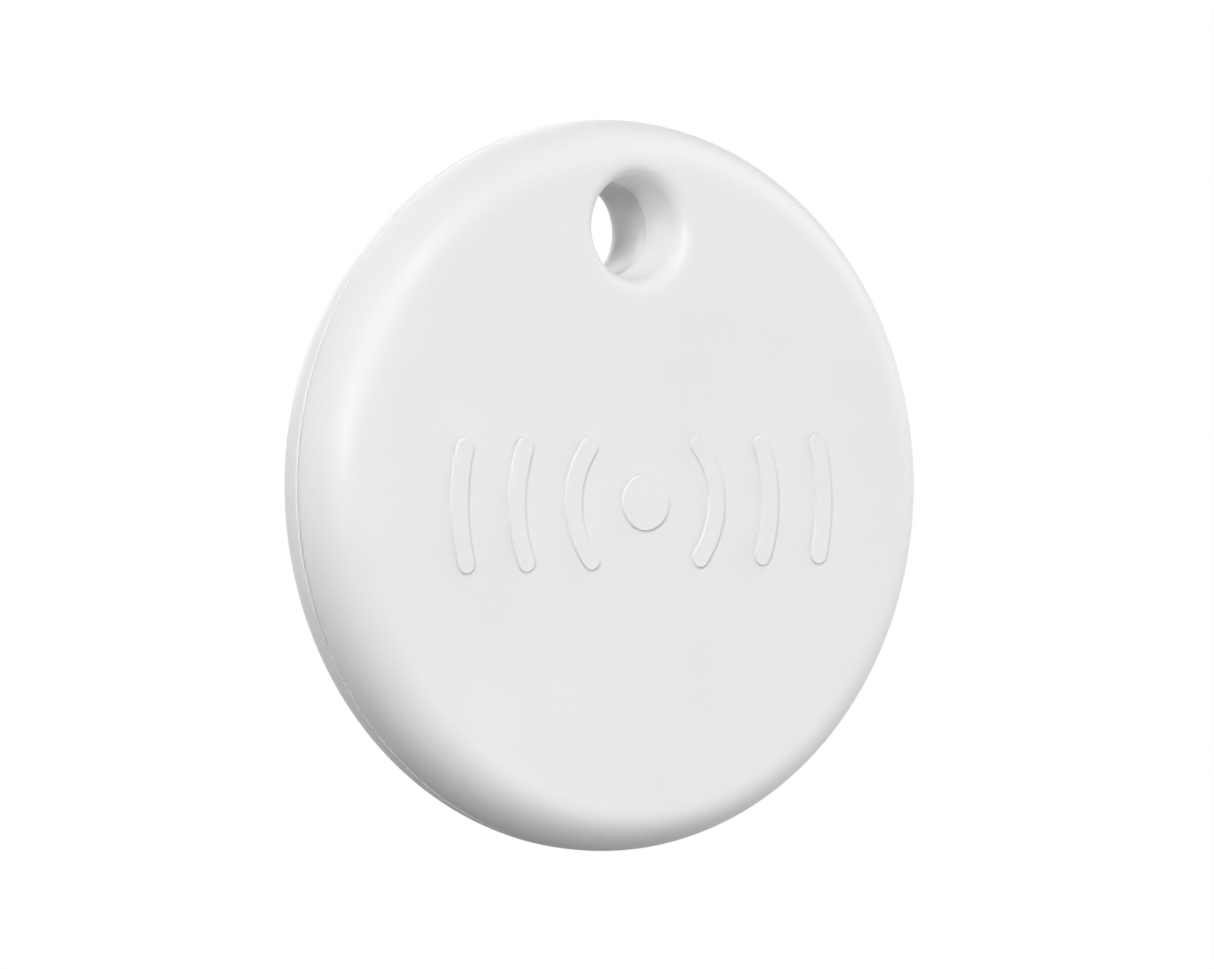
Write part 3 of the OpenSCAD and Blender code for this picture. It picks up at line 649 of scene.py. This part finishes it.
MATERIALS = {
    "case_plastic": case_material(),
    "frame_plastic": frame_material(),
    "gasket_rubber": surface("silicone_grey", (0.055, 0.056, 0.06), 0.6, tint=0.1, grain=0.2, grain_h=0.006,
                             wear=(0.12, 0.12, 0.12)).material,
    "board_laminate": board_material(),
    "copper_foil": surface("copper_under_mask", (0.36, 0.20, 0.06), 0.35, 0.8, patch=1.5, coat=0.4,
                           wear=(0.6, 0.32, 0.14), wear_w=0.03).material,
    "gold_plating": surface("gold_pads", GOLD, 0.28, 1.0, patch=0.8, grain=0.06, grain_h=0.002,
                            wear=(0.9, 0.7, 0.35), wear_w=0.03, marks=0.2).material,
    "chip_resin": surface("moulded_epoxy_black", (0.018, 0.018, 0.02), 0.55, tint=0.15, patch=1.2, grain=0.05,
                          grain_h=0.006, wear=(0.07, 0.07, 0.07), wear_w=0.05).material,
    "tin_can": surface("nickel_lid", (0.60, 0.59, 0.56), 0.30, 1.0, patch=1.0, grain=0.05, grain_h=0.002,
                       stretch=(1, 1, 8), wear=(0.8, 0.8, 0.78), wear_w=0.06, marks=0.2).material,
    "ferrite": surface("ferrite_grey", (0.045, 0.045, 0.05), 0.65, tint=0.2, patch=0.8, grain=0.06,
                       grain_h=0.01, wear=(0.12, 0.12, 0.12), wear_w=0.06).material,
    "capacitor_ceramic": surface("capacitor_tan", (0.34, 0.24, 0.15), 0.5, tint=0.12, patch=0.4,
                                 grain=0.04, grain_h=0.004, wear=(0.5, 0.4, 0.3), wear_w=0.04).material,
    "resistor_black": surface("resistor_glaze", (0.02, 0.02, 0.024), 0.3, tint=0.2, patch=0.3, grain=0.05,
                              grain_h=0.002, wear=(0.1, 0.1, 0.1), wear_w=0.03).material,
    "solder_tin": surface("reflowed_tin", (0.62, 0.62, 0.63), 0.25, 1.0, patch=0.3, grain=0.05, grain_h=0.006,
                          wear=(0.8, 0.8, 0.8), wear_w=0.03).material,
    "spring_gold": surface("gold_plated_spring", GOLD, 0.24, 1.0, patch=1.0, grain=0.05, grain_h=0.002,
                           stretch=(6, 1, 1), wear=(0.92, 0.75, 0.42), wear_w=0.04, marks=0.15).material,
    "adhesive_film": surface("adhesive_amber", (0.45, 0.34, 0.18), 0.4, tint=0.1, patch=1.5, grain=0.15,
                             grain_h=0.006).material,
    "sounder_brass": turned_metal("sounder_brass_sheet", BRASS, 0.33, 0, PIEZO_Z, tint=0.08, patch=4.0,
                                  wear=(0.85, 0.68, 0.38)),
    "sounder_ceramic": surface("sounder_ceramic_ivory", (0.55, 0.50, 0.40), 0.6, tint=0.06, patch=1.5,
                               grain=0.06, grain_h=0.005, wear=(0.7, 0.66, 0.56), wear_w=0.04).material,
    "electrode_silver": surface("fired_silver", (0.66, 0.65, 0.62), 0.45, 1.0, tint=0.06, patch=2.0,
                                grain=0.08, grain_h=0.006).material,
    "plunger_plastic": surface("plunger_grey", (0.22, 0.22, 0.23), 0.4, patch=0.8, grain=0.08,
                               wear=(0.35, 0.35, 0.35), wear_w=0.04).material,
    "dome_steel": turned_metal("dome_spring_steel", STEEL, 0.22, 0, NUB_Y + CENTRE_Z, pitch_mm=0.05,
                               patch=0.6, wear=(0.75, 0.75, 0.74), wear_w=0.03),
    "pad_foam": surface("foam_dark", (0.035, 0.035, 0.038), 0.85, tint=0.3, patch=0.8, grain=0.12,
                        grain_h=0.03).material,
    "cell_steel": turned_metal("cell_steel_drawn", (0.60, 0.59, 0.57), 0.24, 0, CELL_Z, tint=0.05, patch=5.0,
                               wear=(0.78, 0.77, 0.75), wear_w=0.1, marks=0.25, rough_change=0.05),
    "cell_gasket": surface("cell_seal_blue", (0.03, 0.05, 0.16), 0.35, tint=0.1, patch=1.5).material,
    "cell_cap_steel": turned_metal("cell_cap_matt", (0.52, 0.52, 0.50), 0.38, 0, CELL_Z, pitch_mm=0.3,
                                   height=0.003, patch=3.0, wear=(0.7, 0.7, 0.68), marks=0.2),
    "cell_lithium": surface("lithium_foil", (0.50, 0.49, 0.47), 0.5, 1.0, tint=0.12, patch=1.5, grain=0.2,
                            grain_h=0.02).material,
    "cell_separator": surface("separator_fibre", (0.70, 0.69, 0.66), 0.8, tint=0.05, patch=1.0, grain=0.06,
                              grain_h=0.02, stretch=(1, 1, 6)).material,
    "cell_cathode": surface("cathode_powder", (0.02, 0.02, 0.021), 0.9, tint=0.25, patch=0.8, grain=0.05,
                            grain_h=0.03).material,
}

for piece in (front_cover, cover_fittings, signal_mark, rear_cover):
    piece.data.materials.clear()
    piece.data.materials.append(MATERIALS["case_plastic"])

REPLACED = ("front_cover", "rear_cover")
for name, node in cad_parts.items():
    if name in REPLACED:
        continue
    for spot in node.material_slots:
        spot.material = MATERIALS[spot.material.name]


# ---- floor, background, light and camera

FLOOR_Z = cover_low.z * MM - 0.03    # the tag hangs clear of the floor, as in the picture


def floor_disc():
    """A wide pale disc that fades into the white background well before its own edge."""
    shape = Shape()
    turn = np.linspace(0, 2 * math.pi, 96, endpoint=False)
    rows = []
    for r in (0.002, 0.05, 0.1, 0.2, 0.4, 0.9):
        rows.append(np.stack([r * np.cos(turn), r * np.sin(turn), np.full(96, FLOOR_Z)], axis=1))
    shape.add(rows)
    shape.faces.append(tuple(range(96)))
    floor = shape.make("floor")
    n = Nodes("floor_pale")
    n.tree.nodes.remove(n.shader)
    matt = n.add("ShaderNodeBsdfDiffuse")
    grain = n.noise(8.0, 3)
    n.put(matt, "Color", n.blend(n.remap(grain, 0.3, 0.7, 0, 1), (0.86, 0.86, 0.86), (0.88, 0.88, 0.88)))
    glow = n.add("ShaderNodeEmission")
    split = n.add("ShaderNodeSeparateXYZ")
    n.link(n.coords, split.inputs[0])
    x, y = split.outputs[0], split.outputs[1]
    away = n.math("SQRT", n.math("ADD", n.math("MULTIPLY", x, x), n.math("MULTIPLY", y, y)))
    mix = n.add("ShaderNodeMixShader")
    n.put(mix, 0, n.remap(away, 0.05, 0.2, 0, 1))
    n.link(matt.outputs[0], mix.inputs[1])
    n.link(glow.outputs[0], mix.inputs[2])
    out = next(node for node in n.tree.nodes if node.type == "OUTPUT_MATERIAL")
    n.link(mix.outputs[0], out.inputs[0])
    floor.data.materials.append(n.material)
    floor.visible_diffuse = False
    floor.visible_glossy = False
    floor.visible_transmission = False
    floor.visible_shadow = False
    return floor


def white_room():
    """White behind the object, lit by a white backdrop at the back and a dim room in front."""
    world = bpy.data.worlds.new("studio")
    bpy.context.scene.world = world
    world.use_nodes = True
    tree = world.node_tree
    tree.nodes.clear()
    add, link = tree.nodes.new, tree.links.new
    out = add("ShaderNodeOutputWorld")
    split = add("ShaderNodeSeparateXYZ")
    link(add("ShaderNodeTexCoord").outputs["Generated"], split.inputs[0])
    height = add("ShaderNodeMapRange")
    height.inputs["From Min"].default_value = -1
    link(split.outputs[2], height.inputs["Value"])
    sides = add("ShaderNodeMix")
    sides.data_type = "RGBA"
    behind = add("ShaderNodeMapRange")
    behind.inputs["From Max"].default_value = 0.3
    link(split.outputs[1], behind.inputs["Value"])
    link(behind.outputs[0], sides.inputs[0])
    for socket, levels in ((6, FRONT_LEVELS), (7, BACKDROP_LEVELS)):
        ramp = add("ShaderNodeValToRGB")
        link(height.outputs[0], ramp.inputs[0])
        stops = ramp.color_ramp.elements
        while len(stops) < len(levels):
            stops.new(0.5)
        for stop, (place, level) in zip(stops, levels):
            stop.position, stop.color = place, (level, level, level, 1)
        link(ramp.outputs[0], sides.inputs[socket])
    lighting = add("ShaderNodeBackground")
    lighting.inputs["Strength"].default_value = ROOM_STRENGTH
    link(sides.outputs[2], lighting.inputs[0])
    white = add("ShaderNodeBackground")
    white.inputs[0].default_value = (1, 1, 1, 1)
    mix = add("ShaderNodeMixShader")
    link(add("ShaderNodeLightPath").outputs["Is Camera Ray"], mix.inputs[0])
    link(lighting.outputs[0], mix.inputs[1])
    link(white.outputs[0], mix.inputs[2])
    link(mix.outputs[0], out.inputs[0])


def soft_box(name, azimuth, elevation, power, size, distance=0.6):
    """A square area light that faces the middle of the disc."""
    a, e = math.radians(azimuth), math.radians(elevation)
    away = Vector((math.sin(a) * math.cos(e), -math.cos(a) * math.cos(e), math.sin(e)))
    light = bpy.data.lights.new(name, "AREA")
    light.shape = "SQUARE"
    light.size = size
    light.energy = power
    lamp = bpy.data.objects.new(name, light)
    bpy.context.scene.collection.objects.link(lamp)
    lamp.location = Vector((0, 0, CENTRE_Z * MM)) + away * distance
    lamp.rotation_mode = "QUATERNION"
    lamp.rotation_quaternion = away.to_track_quat("Z", "Y")
    return lamp


# (height from straight down at 0 to straight up at 1, level)
BACKDROP_LEVELS = ((0.2, 0.0), (0.27, 0.5), (0.40, 0.8), (0.45, 1.0), (0.57, 1.0), (0.68, 0.36), (0.85, 0.5))
FRONT_LEVELS = ((0.2, 0.0), (0.3, 0.06), (0.4, 0.0), (0.6, 0.05), (0.7, 0.32), (0.85, 0.05))
ROOM_STRENGTH = 1.12
BOX, SMALL_BOX = 0.4, 0.12

floor_disc()
white_room()
soft_box("key", -50, 15, 1.28, SMALL_BOX)
soft_box("high_key", -20, 40, 1.12, SMALL_BOX)
soft_box("high_left", -50, 40, 0.34, SMALL_BOX)
soft_box("left", -70, 10, 0.58, BOX)
soft_box("low_left", -50, -30, 0.2, BOX)
soft_box("right", 80, 10, 0.94, BOX)
soft_box("high_right", 80, 50, 0.78, BOX)
soft_box("low_right", 80, -30, 0.3, BOX)
soft_box("low_front", 35, -30, 1.72, BOX)
soft_box("back_fill", 165, 25, 1.0, BOX)

VIEW_AZIMUTH = -35.03
VIEW_ELEVATION = 0.51
VIEW_ROLL = -0.67
VIEW_DISTANCE = 0.2987
LENS_MM = 168.2
AIM_LEFT = 0.375       # degrees that the camera looks left of the disc's middle
AIM_UP = 0.01


def camera():
    data = bpy.data.cameras.new("camera")
    data.lens = LENS_MM
    data.sensor_width = 36.0
    data.sensor_fit = "HORIZONTAL"
    data.clip_start, data.clip_end = 0.01, 10.0
    obj = bpy.data.objects.new("camera", data)
    bpy.context.scene.collection.objects.link(obj)
    a, e, roll = (math.radians(v) for v in (VIEW_AZIMUTH, VIEW_ELEVATION, VIEW_ROLL))
    back = Vector((math.sin(a) * math.cos(e), -math.cos(a) * math.cos(e), math.sin(e)))
    right = Vector((0, 0, 1)).cross(back).normalized()
    up = back.cross(right)
    rolled_right = math.cos(roll) * right + math.sin(roll) * up
    rolled_up = math.cos(roll) * up - math.sin(roll) * right
    axes = Matrix((rolled_right, rolled_up, back)).transposed()
    aim = Matrix.Rotation(math.radians(AIM_LEFT), 3, "Y") @ Matrix.Rotation(math.radians(AIM_UP), 3, "X")
    middle = Vector((0, FACE_Y, CENTRE_Z)) * MM
    obj.matrix_world = Matrix.Translation(middle + back * VIEW_DISTANCE) @ (axes @ aim).to_4x4()
    bpy.context.scene.camera = obj


camera()
bpy.context.scene.view_settings.view_transform = "Standard"
